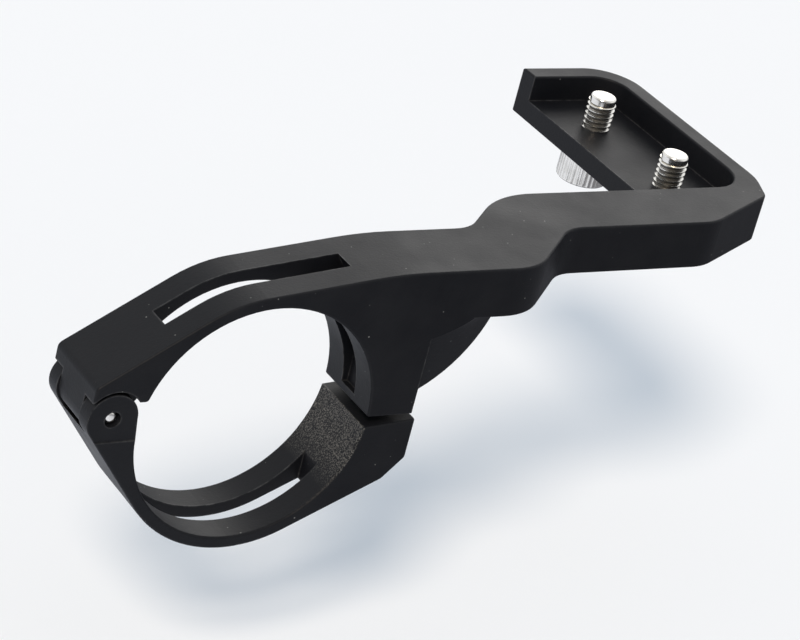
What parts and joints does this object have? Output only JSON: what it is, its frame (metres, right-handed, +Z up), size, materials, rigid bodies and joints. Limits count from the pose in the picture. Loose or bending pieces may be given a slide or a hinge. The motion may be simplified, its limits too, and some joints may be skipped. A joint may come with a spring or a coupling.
{
  "type": "e-bike display mount",
  "caption": "Hinged handlebar ring with a cranked arm that ends in an open tray, where upright screws take an e-bike display.",
  "frame": {"origin": "centre of the handlebar ring, on the bar's axis, halfway across the ring's width", "axes": "+X along the arm towards the display tray, +Y along the handlebar towards the tray's side, +Z up"},
  "size_m": [0.109, 0.0565, 0.0385],
  "materials": {
    "black_plastic": "fine matt moulded grain",
    "steel": "plain bright stainless",
    "brass": "turned"
  },
  "bodies": {
    "arm": {"mount_arm": "black_plastic", "hinge_pin": "steel", "clamp_insert": "brass", "display_screws": "steel"},
    "lower_clamp": {"lower_clamp": "black_plastic"},
    "clamp_screw": {"clamp_screw": "steel"}
  },
  "joints": [
    {"name": "clamp_hinge", "type": "hinge", "parent": "arm", "child": "lower_clamp", "pos_m": [-0.0195, 0, 0.0022], "axis": [0, 1, 0], "range_deg": [0, 80]},
    {"name": "clamp_screw_travel", "type": "slide", "parent": "lower_clamp", "child": "clamp_screw", "axis": [0, 0, 1], "range_m": [0, 0.0044]}
  ]
}
